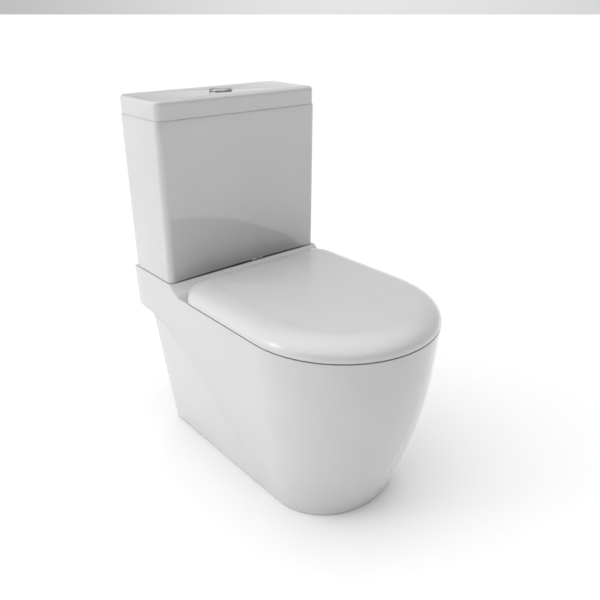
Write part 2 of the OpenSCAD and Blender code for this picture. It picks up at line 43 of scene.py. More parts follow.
shot = {
    "spot": (-0.7761, -0.9278, 0.9237),
    "yaw": 40.26,
    "pitch": 24.48,
    "lens": 39.08,
    "sensor": 36.0,
}
camData = bpy.data.cameras.new("camera")
camData.lens = shot["lens"]
camData.sensor_width = shot["sensor"]
camData.clip_start = 0.02
camData.clip_end = 60.0
camera = bpy.data.objects.new("camera", camData)
bpy.context.scene.collection.objects.link(camera)
camera.location = shot["spot"]
tilt = math.radians(90 - shot["pitch"])
camera.rotation_euler = (tilt, 0, math.radians(-shot["yaw"]))
bpy.context.scene.camera = camera


def addLight(name, kind, spot, aim, power, size):
    data = bpy.data.lights.new(name, kind)
    data.energy = power
    data.shape = "RECTANGLE"
    data.size, data.size_y = size
    light = bpy.data.objects.new(name, data)
    light.location = spot
    towards = Vector(aim) - Vector(spot)
    light.rotation_euler = towards.to_track_quat("-Z", "Y").to_euler()
    bpy.context.scene.collection.objects.link(light)


middle = (0, 0, 0.38)
addLight("keyLeft", "AREA", (-2.3, 0.9, 1.7), middle, 8, (0.6, 0.9))

# a plain studio sky, as height and brightness: dim low down and brightest overhead
skyPeak = 2.5
skyStops = [(0.0, 0.4), (0.2, 0.3), (0.5, 0.25), (1.0, skyPeak)]
glows = [  # wide soft glows on the left, the right and behind: direction, sharpness, strength
    ((-0.78, 0.58, 0.22), 4.0, 2.5),
    ((0.95, 0.1, 0.3), 4.0, 0.4),
    ((0.65, 0.76, 0.0), 8.0, 0.6),
]
world = bpy.data.worlds.new("world")
world.use_nodes = True
skyTree = world.node_tree
skyTree.nodes["Background"].inputs["Color"].default_value = (1, 1, 1, 1)
skyCoord = skyTree.nodes.new("ShaderNodeTexCoord")
skyAxes = skyTree.nodes.new("ShaderNodeSeparateXYZ")
skyCurve = skyTree.nodes.new("ShaderNodeFloatCurve")
skyCurve.mapping.extend = "HORIZONTAL"
skyScale = skyTree.nodes.new("ShaderNodeMath")
skyScale.operation = "MULTIPLY"
skyScale.inputs[1].default_value = skyPeak
curve = skyCurve.mapping.curves[0]
curve.points[0].location = (skyStops[0][0], skyStops[0][1] / skyPeak)
curve.points[1].location = (skyStops[-1][0], skyStops[-1][1] / skyPeak)
for height, bright in skyStops[1:-1]:
    curve.points.new(height, bright / skyPeak)
for point in curve.points:
    point.handle_type = "VECTOR"
skyCurve.mapping.update()
skyTree.links.new(skyCoord.outputs["Generated"], skyAxes.inputs[0])
skyTree.links.new(skyAxes.outputs["Z"], skyCurve.inputs["Value"])
skyTree.links.new(skyCurve.outputs["Value"], skyScale.inputs[0])
skySum = skyScale.outputs["Value"]
for way, sharp, bright in glows:
    steps = [("MAXIMUM", 0), ("POWER", sharp), ("MULTIPLY", bright), ("ADD", 0)]
    glow = [skyTree.nodes.new("ShaderNodeVectorMath")]
    glow[0].operation = "DOT_PRODUCT"
    glow[0].inputs[1].default_value = way
    for operation, value in steps:
        node = skyTree.nodes.new("ShaderNodeMath")
        node.operation = operation
        node.inputs[1].default_value = value
        glow.append(node)
    skyTree.links.new(skyCoord.outputs["Generated"], glow[0].inputs[0])
    skyTree.links.new(glow[0].outputs["Value"], glow[1].inputs[0])
    for a, b in zip(glow[1:], glow[2:]):
        skyTree.links.new(a.outputs["Value"], b.inputs[0])
    skyTree.links.new(skySum, glow[4].inputs[1])
    skySum = glow[4].outputs["Value"]
skyTree.links.new(skySum, skyTree.nodes["Background"].inputs["Strength"])
bpy.context.scene.world = world
bpy.context.scene.view_settings.view_transform = "Standard"
bpy.context.scene.view_settings.exposure = -0.5
print("camera and lights")


# materials: every one is built from procedural textures on object coordinates


def newMaterial(name):
    made = bpy.data.materials.new(name)
    made.use_nodes = True
    return made, made.node_tree, made.node_tree.nodes["Principled BSDF"]


def addNode(tree, kind, **inputs):
    node = tree.nodes.new("ShaderNode" + kind)
    for key, value in inputs.items():
        node.inputs[key].default_value = value
    return node


def noiseOn(tree, scale, detail, stretch=(1, 1, 1)):  # stretched along an axis it looks brushed
    coord = addNode(tree, "TexCoord")
    turn = addNode(tree, "Mapping", Scale=stretch)
    noise = addNode(tree, "TexNoise", Scale=scale, Detail=detail)
    tree.links.new(coord.outputs["Object"], turn.inputs["Vector"])
    tree.links.new(turn.outputs["Vector"], noise.inputs["Vector"])
    return noise


def rampTo(tree, source, socket, low, high, start=0.3, end=0.7):
    ramp = addNode(tree, "ValToRGB")
    ramp.color_ramp.elements[0].position = start
    ramp.color_ramp.elements[1].position = end
    ramp.color_ramp.elements[0].color = low
    ramp.color_ramp.elements[1].color = high
    tree.links.new(source.outputs["Fac"], ramp.inputs["Fac"])
    tree.links.new(ramp.outputs["Color"], socket)


def grey(value):
    return (value, value, value, 1)


def makeLook(name, look):  # colour and roughness clouds and two scales of bump
    made, tree, shader = newMaterial(name)
    stretch = look.get("stretch", (1, 1, 1))
    shader.inputs["Metallic"].default_value = look.get("metal", 0)
    shader.inputs["Coat Weight"].default_value = look.get("coat", 0)
    shader.inputs["Coat Roughness"].default_value = look.get("coatRough", 0.03)
    shader.inputs["IOR"].default_value = 1.5
    shader.inputs["Subsurface Weight"].default_value = look.get("soft", 0)
    shader.inputs["Subsurface Scale"].default_value = 0.004
    cloud = noiseOn(tree, look["cloudScale"], 3, stretch)
    rampTo(tree, cloud, shader.inputs["Base Color"], look["dark"], look["light"])
    smear = noiseOn(tree, look["smearScale"], 4, stretch)
    low, high = look["rough"]
    rampTo(tree, smear, shader.inputs["Roughness"], grey(low), grey(high))
    wave = noiseOn(tree, look["waveScale"], 1)
    grain = noiseOn(tree, look["grainScale"], 2, stretch)
    first = addNode(tree, "Bump", Strength=look["wave"], Distance=0.002)
    second = addNode(tree, "Bump", Strength=look["grain"], Distance=0.0004)
    tree.links.new(wave.outputs["Fac"], first.inputs["Height"])
    tree.links.new(grain.outputs["Fac"], second.inputs["Height"])
    tree.links.new(first.outputs["Normal"], second.inputs["Normal"])
    tree.links.new(second.outputs["Normal"], shader.inputs["Normal"])
    return made


lookSpecs = {
    "glaze": {
        "dark": (0.56, 0.563, 0.567, 1), "light": (0.585, 0.588, 0.59, 1), "cloudScale": 6,
        "coat": 1.0, "coatRough": 0.02, "soft": 0.05, "smearScale": 14, "rough": (0.06, 0.11),
        "waveScale": 9, "wave": 0.035, "grainScale": 160, "grain": 0.03,
    },
    "seatPlastic": {
        "dark": (0.592, 0.595, 0.6, 1), "light": (0.6, 0.603, 0.605, 1), "cloudScale": 10,
        "coat": 0.9, "coatRough": 0.14, "soft": 0.08, "smearScale": 26, "rough": (0.24, 0.27),
        "waveScale": 12, "wave": 0.004, "grainScale": 420, "grain": 0.012,
    },
    "chrome": {
        "dark": (0.4, 0.41, 0.42, 1), "light": (0.5, 0.51, 0.52, 1), "cloudScale": 30,
        "metal": 1, "smearScale": 90, "rough": (0.05, 0.13),
        "waveScale": 40, "wave": 0.02, "grainScale": 900, "grain": 0.06,
    },
    "steel": {
        "dark": (0.4, 0.4, 0.41, 1), "light": (0.58, 0.58, 0.59, 1), "cloudScale": 40,
        "metal": 1, "smearScale": 120, "rough": (0.22, 0.42), "stretch": (0.06, 1, 1),
        "waveScale": 60, "wave": 0.03, "grainScale": 1500, "grain": 0.35,
    },
    "brass": {
        "dark": (0.48, 0.34, 0.13, 1), "light": (0.72, 0.55, 0.26, 1), "cloudScale": 60,
        "metal": 1, "smearScale": 140, "rough": (0.2, 0.45),
        "waveScale": 80, "wave": 0.04, "grainScale": 1200, "grain": 0.25,
    },
    "blackRubber": {
        "dark": (0.012, 0.012, 0.012, 1), "light": (0.035, 0.035, 0.034, 1), "cloudScale": 60,
        "smearScale": 110, "rough": (0.55, 0.8),
        "waveScale": 90, "wave": 0.08, "grainScale": 1300, "grain": 0.6,
    },
    "softWhite": {
        "dark": (0.6, 0.6, 0.59, 1), "light": (0.72, 0.72, 0.7, 1), "cloudScale": 60,
        "soft": 0.1, "smearScale": 90, "rough": (0.4, 0.6),
        "waveScale": 90, "wave": 0.05, "grainScale": 1100, "grain": 0.4,
    },
    "bluePlastic": {
        "dark": (0.06, 0.15, 0.34, 1), "light": (0.09, 0.21, 0.44, 1), "cloudScale": 34,
        "smearScale": 70, "rough": (0.3, 0.5),
        "waveScale": 60, "wave": 0.04, "grainScale": 900, "grain": 0.35,
    },
    "valvePlastic": {
        "dark": (0.66, 0.66, 0.64, 1), "light": (0.78, 0.78, 0.76, 1), "cloudScale": 34,
        "soft": 0.05, "smearScale": 70, "rough": (0.28, 0.48),
        "waveScale": 60, "wave": 0.04, "grainScale": 900, "grain": 0.35,
    },
}
looks = {name: makeLook(name, spec) for name, spec in lookSpecs.items()}
print("materials")


# shared mesh steps; shapes are worked in millimetres and scaled to metres once at the end


def mapGrid(bm, cols, rows, place):  # a grid laid over a formula: place(column, row) is a point
    made = bmesh.ops.create_grid(bm, x_segments=cols, y_segments=rows, size=0.5)
    for v in made["verts"]:
        v.co = Vector(place(round((v.co.x + 0.5) * cols), round((v.co.y + 0.5) * rows)))


def everything(bm):
    return bm.verts[:] + bm.edges[:] + bm.faces[:]


def dropFaces(bm, test):
    gone = [f for f in bm.faces if test(f.calc_center_median())]
    bmesh.ops.delete(bm, geom=gone, context="FACES")


def weld(bm, gap=0.01):
    bmesh.ops.remove_doubles(bm, verts=bm.verts[:], dist=gap)
    bmesh.ops.dissolve_degenerate(bm, edges=bm.edges[:], dist=0.001)


def asPiece(bm, name, look, body, nodes, outward=None):
    if outward:  # an open sheet is turned so that the face nearest this spot looks this way
        spot, way = Vector(outward[0]), Vector(outward[1])
        bm.normal_update()
        near = min(bm.faces, key=lambda f: (f.calc_center_median() - spot).length)
        if near.normal.dot(way) < 0:
            bmesh.ops.reverse_faces(bm, faces=bm.faces[:])
    bmesh.ops.scale(bm, vec=(mm, mm, mm), verts=bm.verts[:])
    mesh = bpy.data.meshes.new(name)
    bm.to_mesh(mesh)
    bm.free()
    for f in mesh.polygons:
        f.use_smooth = True
    piece = bpy.data.objects.new(name, mesh)
    bpy.context.scene.collection.objects.link(piece)
    mesh.materials.append(looks[look])
    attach(piece, body)
    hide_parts(*nodes)
    return piece


def addBevel(piece, width, angle=35, segments=3):
    mod = piece.modifiers.new("edges", "BEVEL")
    mod.width = width * mm
    mod.segments = segments
    mod.limit_method = "ANGLE"
    mod.angle_limit = math.radians(angle)


def addWall(piece, thick):
    mod = piece.modifiers.new("wall", "SOLIDIFY")
    mod.thickness = thick * mm
    mod.offset = -1
    mod.use_even_offset = True


def lerp(a, b, t):
    return a + (b - a) * t


# pan

pan = {
    "halfRim": 194.9, "halfBase": 138.0, "halfLow": 191.0, "rimHigh": 385.5, "deckHigh": 405.0,
    "lowHigh": 308.5, "lipHigh": 312.0, "footClear": 1.1, "footHigh": 30.0,
    "back": 315.9, "creaseBack": 257.0, "footBack": 290.0, "creaseRun": 313.0, "hingeBack": 190,
    "join": -120.0, "joinSlope": 15, "rimFront": 195.9, "baseFront": 123.0, "fullness": 112.0,
    "stepLow": 130.0, "stepHigh": 166.0, "wall": 9.0, "edge": 3.2, "bowlEdge": 9.0,
    "archHalf": 105.0, "archHigh": 285.0,
}
ports = {"duct": (352.5, 20.0, 30), "mouth": (135.0, 33.0, 10), "ragged": 20, "reach": 1.6}
openings = {
    "well": (52, 188, 292), "wellLow": 400, "pipe": (-142, -105, 242), "pipeLow": 308,
    "archFrom": 250,
}
deckRows = [122, 130, 133, 137, 141, 145, 149, 153, 157, 160, 163, 166, 170, 188, 242, 292]
deckRows.append(pan["back"])
deckHalf = [0, 26, 52, 78, 105, 142, 170, 188, pan["halfRim"]]
deckCols = deckHalf[::-1] + [-x for x in deckHalf[1:]]
lowRows = [0, 0.02, 0.1, 0.25, 0.4, 0.55, 0.7, 0.82, 0.924, 0.985, 1]
highRows = [0.05, 0.12, 0.19, 0.26, 0.33, 0.4, 0.47, 0.54, 0.61, 0.68, 0.75, 0.82, 0.88, 0.94, 1]
sideSteps, frontSteps = 14, 72
bowlRings = [  # height, share of the half width, how far the front and rear are from the opening's
    (372, 1.0, 0, 1), (350, 0.985, 3, 0), (310, 0.925, 20, -2), (265, 0.8, 54, -2),
    (220, 0.63, 101, 0), (180, 0.465, 156, 4), (150, 0.36, 201, 10), (125, 0.305, 241, 16),
    (108, 0.24, 266, 14), (101, 0.1, 290, -4),
]
bowlHalf, bowlFront, bowlBack = 150.0, -286.0, 56.0


def facetHalf(z):
    return pan["halfBase"] + (pan["halfLow"] - pan["halfBase"]) * z / pan["lowHigh"]


def creaseHigh(y):
    s = min(1, max(0, (pan["creaseBack"] - y) / pan["creaseRun"]))
    return pan["lowHigh"] * (1 - s ** 1.5)


def sideHalf(y, z):
    zc = creaseHigh(y)
    if z <= zc:
        return facetHalf(z)
    top = pan["deckHigh"] if y > pan["creaseBack"] else pan["rimHigh"] - 2
    return min(pan["halfRim"], lerp(facetHalf(zc), pan["halfRim"], (z - zc) / (top - zc)))


def topHigh(y):
    t = min(1, max(0, (y - pan["stepLow"]) / (pan["stepHigh"] - pan["stepLow"])))
    return lerp(pan["rimHigh"], pan["deckHigh"], t * t * (1.36 - 0.36 * t))


def rearAt(z):
    if z > pan["lipHigh"] - 1:
        return pan["back"]
    return lerp(pan["footBack"], pan["creaseBack"], min(1, z / pan["lowHigh"]))


def joinAt(z):
    return pan["join"] + pan["joinSlope"] * (1 - min(1, z / pan["rimHigh"]))


def frontAt(z):
    swell = math.sin(math.radians(min(90, pan["fullness"] * z / pan["rimHigh"])))
    return lerp(pan["baseFront"], pan["rimFront"], swell)


def sideY(k, z):  # where the k-th upright line of the side stands at height z
    if k <= sideSteps:
        return lerp(joinAt(z), deckRows[0], k / sideSteps)
    y, hinge = deckRows[k - sideSteps], pan["hingeBack"]
    if y < hinge or z >= pan["lipHigh"]:
        return y
    low = lerp(hinge, rearAt(min(z, pan["lowHigh"])), (y - hinge) / (pan["back"] - hinge))
    return lerp(low, y, max(0, (z - pan["lowHigh"]) / (pan["lipHigh"] - pan["lowHigh"])))


def rowHigh(j, crease, top):
    if j < len(lowRows):
        return crease * lowRows[j]
    lift = crease + pan["lipHigh"] - pan["lowHigh"]
    if j == len(lowRows):
        return lift
    return lerp(lift, top, highRows[j - len(lowRows) - 1])


sideLines = sideSteps + len(deckRows) - 1
wallCols = 2 * sideLines + len(deckCols) - 1 + frontSteps
wallRows = len(lowRows) + len(highRows)


backEnd = sideLines + len(deckCols) - 1
leftEnd = backEnd + sideLines


def wallPoint(i, j):  # goes round by the right side (+X), the back, the left side and the front
    i = i % wallCols
    if i <= sideLines or backEnd <= i <= leftEnd:
        way, k = (1, i) if i <= sideLines else (-1, leftEnd - i)
        z = creaseHigh(sideY(k, pan["rimHigh"]))
        for _ in range(5):
            z = creaseHigh(sideY(k, z))
        crease = max(z, pan["footHigh"])
        z = max(rowHigh(j, crease, topHigh(sideY(k, pan["deckHigh"]))), pan["footClear"])
        y = sideY(k, z)
        return (way * sideHalf(y, z), y, z)
    if i < backEnd:
        x = deckCols[i - sideLines]
        z = max(rowHigh(j, pan["lowHigh"], pan["deckHigh"]), pan["footClear"])
        y, arch = rearAt(z), pan["archHalf"]
        if abs(x) > arch:
            share = (abs(x) - arch) / (pan["halfRim"] - arch)
            x = math.copysign(lerp(arch, sideHalf(y, z), share), x)
        return (x, y, z)
    a = math.pi * (1 + (i - leftEnd) / frontSteps)
    z = max(rowHigh(j, pan["footHigh"], pan["rimHigh"]), pan["footClear"])
    power = 2 / (2.1 - 0.1 * z / pan["rimHigh"])
    half, reach = sideHalf(joinAt(z), z), frontAt(z)
    x = math.copysign(abs(math.cos(a)) ** power, math.cos(a)) * half
    return (x, joinAt(z) - reach * abs(math.sin(a)) ** power, z)


bowlSpots = [len(deckCols) - 1, sideSteps, frontSteps, sideSteps]
bowlCols = sum(bowlSpots)
rimShares = [0, 0.12, 0.3, 0.5, 0.7, 0.88, 1]
edgeRows, edgeTurn = 3, 30  # rows round the rim's inner edge, and the degrees between them
bowlSteps = 4  # rows between two of the bowl's rings


def outlinePoint(i):
    i = i % bowlCols
    if i <= bowlSpots[0]:
        return (deckCols[i], deckRows[0])
    i -= bowlSpots[0]
    if i <= sideSteps:
        return (-pan["halfRim"], lerp(deckRows[0], pan["join"], i / sideSteps))
    i -= sideSteps
    if i <= frontSteps:
        a = math.pi * (1 + i / frontSteps)
        return (pan["halfRim"] * math.cos(a), pan["join"] + pan["rimFront"] * math.sin(a))
    i -= frontSteps
    return (pan["halfRim"], lerp(pan["join"], deckRows[0], i / sideSteps))


def smoothAt(a, b, c, d, t):
    square, cube = 2 * a - 5 * b + 4 * c - d, 3 * b - a - 3 * c + d
    return 0.5 * (2 * b + (c - a) * t + square * t * t + cube * t ** 3)


def smoothRing(q):  # a soft curve through the bowl's rings
    last = len(bowlRings) - 1
    k = min(int(q), last - 1)
    near = [bowlRings[min(max(n, 0), last)] for n in (k - 1, k, k + 1, k + 2)]
    return [smoothAt(a, b, c, d, q - k) for a, b, c, d in zip(*near)]


def bowlPoint(i, j):
    x, y = outlinePoint(i)
    mid, reach = (bowlFront + bowlBack) / 2, (bowlBack - bowlFront) / 2
    a = math.atan2((y - mid) / reach, x / bowlHalf)
    edge = pan["bowlEdge"]
    if j < len(rimShares):
        t = rimShares[j]
        innerX, innerY = (bowlHalf + edge) * math.cos(a), mid + (reach + edge) * math.sin(a)
        return (lerp(x, innerX, t), lerp(y, innerY, t), pan["rimHigh"])
    j -= len(rimShares)
    if j < edgeRows:
        turn = math.radians(edgeTurn * (j + 1))
        out, drop = edge * (1 - math.sin(turn)), edge * (1 - math.cos(turn))
        x, y = (bowlHalf + out) * math.cos(a), mid + (reach + out) * math.sin(a)
        return (x, y, pan["rimHigh"] - drop)
    z, share, front, rear = smoothRing((j - edgeRows) / bowlSteps)
    low, high = bowlFront + front, bowlBack + rear
    return (bowlHalf * share * math.cos(a), (low + high) / 2 + (high - low) / 2 * math.sin(a), z)


def roundHole(bm, high, radius, fromY):  # a port seen along Y, its edge pulled on to a circle
    dropFaces(bm, lambda p: p.y > fromY and math.hypot(p.x, p.z - high) < radius)
    for v in bm.verts:
        if v.is_boundary and v.co.y > ports["ragged"]:
            flat = Vector((v.co.x, v.co.z - high))
            if 0 < flat.length < radius * ports["reach"]:
                flat *= radius / flat.length
                v.co.x, v.co.z = flat.x, high + flat.y


bm = bmesh.new()
bowlRows = len(rimShares) + edgeRows + bowlSteps * (len(bowlRings) - 1)
mapGrid(bm, bowlCols, bowlRows, bowlPoint)
weld(bm)
roundHole(bm, *ports["duct"])
roundHole(bm, *ports["mouth"])
bottom = [v for v in bm.verts if v.co.z < bowlRings[-1][0] + 0.5]
rim = [e for e in bm.edges if e.is_boundary and all(v in bottom for v in e.verts)]
bmesh.ops.contextual_create(bm, geom=rim)
mapGrid(bm, len(deckCols) - 1, len(deckRows) - 1,
        lambda i, j: (deckCols[i], deckRows[j], topHigh(deckRows[j])))
mapGrid(bm, wallCols, wallRows, wallPoint)
weld(bm, 0.05)
wellHalf, wellFront, wellBack = openings["well"]
pipeLeft, pipeRight, pipeFront = openings["pipe"]
dropFaces(bm, lambda p: abs(p.x) < wellHalf and wellFront < p.y < wellBack
          and p.z > openings["wellLow"])
dropFaces(bm, lambda p: pipeLeft < p.x < pipeRight and p.y > pipeFront
          and p.z > openings["pipeLow"])
dropFaces(bm, lambda p: abs(p.x) < pan["archHalf"] and p.y > openings["archFrom"]
          and p.z < pan["archHigh"])
bmesh.ops.recalc_face_normals(bm, faces=bm.faces[:])
panBody = asPiece(bm, "panBody", "glaze", "pan_and_cistern", ["pan"],
                  ((-190, 0, 330), (-1, 0, 0)))
addBevel(panBody, pan["edge"], 32, 4)
addWall(panBody, pan["wall"])
print("pan", len(panBody.data.polygons))


# seat cover: one moulded shell that wraps over the seat

cover = {
    "foot": 388.2, "shoulder": 420.0, "shoulderWide": 55.0, "shoulderHigh": 30.5, "rearIn": 10.0,
    "crown": 5.0, "crownY": -80.0, "crowding": 0.9, "rear": 126.0, "corner": 38.0,
    "cornerTight": 12.0, "wall": 4.0, "lift": (111.0, 123.0, 13.0), "notch": (67.5, 87.5, 111.0),
    "lug": (89.0, 103.0), "axis": (108.0, 408.0), "lugRadius": 6.5, "pin": 4.06,
    "web": (4.6, 4.0, 4.6, 2.0),
}
rearXs = [87.5, 67.5, 34, 0]  # uprights across the rear edge, from the outside in
rearShare = 0.45  # where one more stands between the first of them and the corner
coverParts = {"corner": 8, "side": 12, "front": 72}
rearCols = 2 * (len(rearXs) + 1)
coverCols = 2 * (coverParts["corner"] + coverParts["side"]) + coverParts["front"] + rearCols


def dOutline(i, inset, rear, corner):  # plan of the seat or its cover at one height
    i = i % coverCols
    half, reach = pan["halfRim"] - inset, pan["rimFront"] - inset
    turns, sides, fronts = coverParts["corner"], coverParts["side"], coverParts["front"]
    if i <= turns:
        a = math.pi / 2 * i / turns
        return (half - corner + corner * math.cos(a), rear - corner + corner * math.sin(a))
    i -= turns
    if i < rearCols:
        k = min(i, rearCols - i)
        x = rearXs[k - 2] if k > 1 else lerp(rearXs[0], half - corner, rearShare)
        return (x if i <= rearCols // 2 else -x, rear)
    i -= rearCols
    if i <= turns:
        a = math.pi / 2 * (1 + i / turns)
        return (-half + corner + corner * math.cos(a), rear - corner + corner * math.sin(a))
    i -= turns
    if i <= sides:
        return (-half, lerp(rear - corner, pan["join"], i / sides))
    i -= sides
    if i <= fronts:
        a = math.pi * (1 + i / fronts)
        return (half * math.cos(a), pan["join"] + reach * math.sin(a))
    i -= fronts
    return (half, lerp(pan["join"], rear - corner, i / sides))


shoulderSteps, crownSteps = 16, 12


def coverPoint(i, j):
    t = math.radians(90 * min(1, max(0, j - 1) / shoulderSteps))
    inset = cover["shoulderWide"] * (1 - math.cos(t))
    rear = cover["rear"] - cover["rearIn"] * (1 - math.cos(t))
    corner = cover["corner"] - cover["cornerTight"] * math.sin(t)
    x, y = dOutline(i, inset, rear, corner)
    foot, shoulder = cover["foot"], cover["shoulder"]
    z = foot if j == 0 else shoulder - cover["shoulderHigh"] * (1 - math.sin(t))
    start, end, rise = cover["lift"]
    lift = rise * min(1, max(0, (y - start) / (end - start)))
    z = lerp(foot + lift, shoulder, (z - foot) / (shoulder - foot))
    if j > shoulderSteps + 1:
        share = (1 - (j - shoulderSteps - 1) / crownSteps) ** cover["crowding"]
        x, y = x * share, cover["crownY"] + (y - cover["crownY"]) * share
        z += cover["crown"] * (1 - share * share)
    return (x, y, z)


bm = bmesh.new()
mapGrid(bm, coverCols, shoulderSteps + crownSteps + 1, coverPoint)
weld(bm)
nearX, farX, fromY = cover["notch"]
dropFaces(bm, lambda p: nearX < abs(p.x) < farX and p.y > fromY)
bmesh.ops.recalc_face_normals(bm, faces=bm.faces[:])
seatCover = asPiece(bm, "seatCover", "seatPlastic", "seat_cover", ["seat_lid"],
                    ((0, cover["crownY"], 425), (0, 0, 1)))
addWall(seatCover, cover["wall"])
addBevel(seatCover, 1.0, 50, 2)


def addLug(bm, x0, x1):  # a barrel across X on the hinge's axis, bored for the pin
    verts = []
    for radius in (cover["lugRadius"], cover["pin"]):
        tube = bmesh.ops.create_cone(bm, segments=40, radius1=radius, radius2=radius,
                                     depth=x1 - x0, cap_ends=False)
        verts += tube["verts"]
    edges = [e for e in bm.edges if e.is_boundary and e.verts[0] in verts]
    bmesh.ops.bridge_loops(bm, edges=[e for e in edges if e.verts[0].co.z > 0])
    bmesh.ops.bridge_loops(bm, edges=[e for e in edges if e.verts[0].co.z < 0])
    turn = Matrix.Rotation(math.pi / 2, 3, "Y")
    bmesh.ops.rotate(bm, cent=(0, 0, 0), matrix=turn, verts=verts)
    bmesh.ops.translate(bm, vec=((x0 + x1) / 2, *cover["axis"]), verts=verts)


def addBlock(bm, x0, x1, y0, y1, z0, z1):
    verts = bmesh.ops.create_cube(bm, size=1)["verts"]
    middle = ((x0 + x1) / 2, (y0 + y1) / 2, (z0 + z1) / 2)
    bmesh.ops.scale(bm, vec=(x1 - x0, y1 - y0, z1 - z0), verts=verts)
    bmesh.ops.translate(bm, vec=middle, verts=verts)


bm = bmesh.new()
axisY, axisZ = cover["axis"]
webFront, webBack, webFoot, webTop = cover["web"]
for side in (1, -1):
    x0, x1 = sorted(side * x for x in cover["lug"])
    addLug(bm, x0, x1)
    addBlock(bm, x0, x1, axisY - webFront, axisY + webBack, axisZ + webFoot,
             cover["shoulder"] - webTop)
bmesh.ops.recalc_face_normals(bm, faces=bm.faces[:])
coverLugs = asPiece(bm, "coverLugs", "seatPlastic", "seat_cover", ["seat_lid"])
addBevel(coverLugs, 0.5, 40, 2)
print("seat cover")


# seat ring

ringSeat = {
    "rear": 92.0, "corner": 40.0, "inset": 9.0, "holeHalf": 112.0, "holeFront": -256.0,
    "holeRear": 46.0, "lug": (52.0, 66.0), "arm": (80.0, 4.6, 7.0, 1.5), "topCrown": (0.4, 0.2),
}
outerProfile = [  # distance in from the edge, and height
    (1.5, 389.0), (0.4, 389.6), (0, 391.5), (2.5, 396), (6, 400), (11.5, 404), (15, 405.8),
    (19, 406.8),
]
holeProfile = [
    (10, 406.7), (5, 405.2), (2, 402.5), (0.5, 398), (0, 394), (0.3, 390.5), (1.6, 389.1),
]
topShares = [0.15, 0.35, 0.5, 0.65, 0.85]


def seatEdge(i, grow, z):
    inset = ringSeat["inset"] + grow
    x, y = dOutline(i, inset, ringSeat["rear"] - grow, ringSeat["corner"])
    return (x, y, z)


def holeEdge(i, grow, z):
    x, y, _ = seatEdge(i, 0, z)
    mid = (ringSeat["holeFront"] + ringSeat["holeRear"]) / 2
    reach = (ringSeat["holeRear"] - ringSeat["holeFront"]) / 2
    a = math.atan2((y - mid) / reach, x / ringSeat["holeHalf"])
    return ((ringSeat["holeHalf"] + grow) * math.cos(a), mid + (reach + grow) * math.sin(a), z)


def seatPoint(i, j):
    if j < len(outerProfile):
        return seatEdge(i, *outerProfile[j])
    j -= len(outerProfile)
    if j < len(topShares):
        a, b = seatEdge(i, *outerProfile[-1]), holeEdge(i, *holeProfile[0])
        t = topShares[j]
        swell, sink = ringSeat["topCrown"]
        x, y, z = (lerp(p, q, t) for p, q in zip(a, b))
        return (x, y, z + swell * math.sin(math.pi * t) - sink)
    j -= len(topShares)
    if j < len(holeProfile):
        return holeEdge(i, *holeProfile[j])
    return seatEdge(i, *outerProfile[0])


bm = bmesh.new()
mapGrid(bm, coverCols, len(outerProfile) + len(topShares) + len(holeProfile), seatPoint)
weld(bm)
bmesh.ops.recalc_face_normals(bm, faces=bm.faces[:])
asPiece(bm, "seatRing", "seatPlastic", "seat", ["seat_ring"],
        ((0, -270, 407), (0, 0, 1)))

bm = bmesh.new()
armFront, armBack, armLow, armHigh = ringSeat["arm"]
for side in (1, -1):
    x0, x1 = sorted(side * x for x in ringSeat["lug"])
    addLug(bm, x0, x1)
    addBlock(bm, x0, x1, armFront, axisY - armBack, axisZ - armLow, axisZ - armHigh)
bmesh.ops.recalc_face_normals(bm, faces=bm.faces[:])
seatLugs = asPiece(bm, "seatLugs", "seatPlastic", "seat", ["seat_ring"])
addBevel(seatLugs, 0.5, 40, 2)
print("seat ring")


# cistern

tank = {
    "halfTop": 193.2, "halfLow": 192.2, "frontTop": 164.3, "frontLow": 166.4, "back": 315.9,
    "low": 406.1, "high": 726.3, "corner": 14.0, "wall": 10.0,
    "arch": 4.0, "archHalf": 186, "archTop": 16, "archCuts": range(-180, 181, 20),
}
box = {
    "low": 726.5, "high": 763.0, "edge": 8.0, "corner": 14.0, "wall": 8.0, "half": 191.9,
    "front": 165.7, "back": 314.8, "holeY": 240, "holeRadius": 21.1,
}
lip = {
    "half": 180.5, "front": 176.8, "back": 303.2, "low": 716.5, "high": 730.0, "corner": 7.0,
    "wall": 5.0,
}


def roundEdges(bm, edges, offset, segments):
    bmesh.ops.bevel(bm, geom=edges, offset=offset, offset_type="OFFSET", segments=segments,
                    profile=0.5, affect="EDGES", material=-1)


def uprightBox(bm, spec):  # closed, with rounded upright edges; it may taper between low and high
    halfTop, halfLow = (spec.get(key, spec.get("half")) for key in ("halfTop", "halfLow"))
    frontTop, frontLow = (spec.get(key, spec.get("front")) for key in ("frontTop", "frontLow"))
    verts = bmesh.ops.create_cube(bm, size=2)["verts"]
    for v in verts:
        up = v.co.z > 0
        half, front = (halfTop, frontTop) if up else (halfLow, frontLow)
        y = front if v.co.y < 0 else spec["back"]
        v.co = Vector((math.copysign(half, v.co.x), y, spec["high"] if up else spec["low"]))
    upright = [e for e in bm.edges if abs(e.verts[0].co.z - e.verts[1].co.z) > 1]
    roundEdges(bm, upright, spec["corner"], 10)


